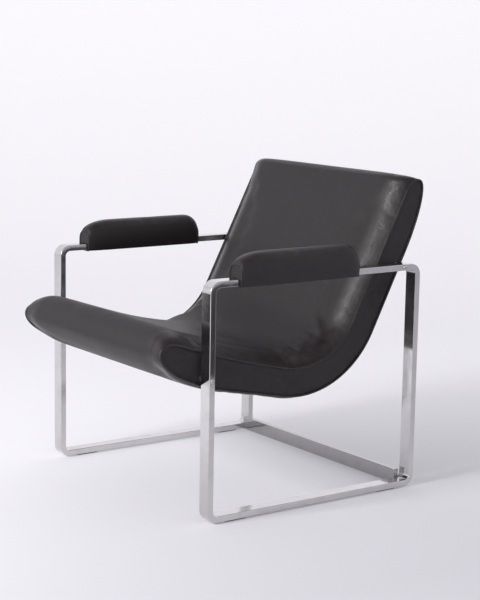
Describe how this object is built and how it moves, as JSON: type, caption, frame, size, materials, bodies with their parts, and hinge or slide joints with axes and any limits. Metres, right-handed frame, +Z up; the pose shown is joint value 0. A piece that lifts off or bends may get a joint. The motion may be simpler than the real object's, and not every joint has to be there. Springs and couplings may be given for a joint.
{
  "type": "sling lounge chair",
  "caption": "Low lounge chair: a thick black leather sling for seat and back, bolted between closed side loops of polished flat steel bar with padded leather arms.",
  "frame": {"origin": "on the floor, under the middle of the chair's bounding box", "axes": "+Z up, -Y the way the sitter faces, +X to the sitter's left"},
  "size_m": [0.7416, 0.7622, 0.7663],
  "materials": {
    "polished_steel": "mirror-polished flat bar",
    "black_leather": "semi-gloss, fine grain, charcoal black",
    "foam": "open-cell upholstery foam",
    "black_steel": "black powder coat",
    "webbing": "woven elastic webbing",
    "zinc_steel": "zinc plated",
    "black_nylon": "matte"
  },
  "bodies": {
    "root": {"left_side_loop": "polished_steel", "right_side_loop": "polished_steel", "rear_stretcher": "polished_steel", "front_left_glide": "black_nylon", "front_right_glide": "black_nylon", "rear_left_glide": "black_nylon", "rear_right_glide": "black_nylon", "left_arm_foam": "foam", "right_arm_foam": "foam", "foam_pad": "foam", "left_arm_cover": "black_leather", "right_arm_cover": "black_leather", "face_panel": "black_leather", "rear_panel": "black_leather", "left_boxing": "black_leather", "right_boxing": "black_leather", "left_welt": "black_leather", "right_welt": "black_leather", "nose_cross_tube": "black_steel", "seat_cross_tube": "black_steel", "crease_cross_tube": "black_steel", "lumbar_cross_tube": "black_steel", "top_cross_tube": "black_steel", "left_rail": "black_steel", "right_rail": "black_steel", "seat_strap_1": "webbing", "seat_strap_2": "webbing", "seat_strap_3": "webbing", "seat_strap_4": "webbing", "back_strap_1": "webbing", "back_strap_2": "webbing", "back_strap_3": "webbing", "back_strap_4": "webbing", "front_left_spacer": "zinc_steel", "front_left_bolt": "zinc_steel", "front_left_nut": "zinc_steel", "front_right_spacer": "zinc_steel", "front_right_bolt": "zinc_steel", "front_right_nut": "zinc_steel", "rear_left_spacer": "zinc_steel", "rear_left_bolt": "zinc_steel", "rear_left_nut": "zinc_steel", "rear_right_spacer": "zinc_steel", "rear_right_bolt": "zinc_steel", "rear_right_nut": "zinc_steel"}
  },
  "joints": []
}
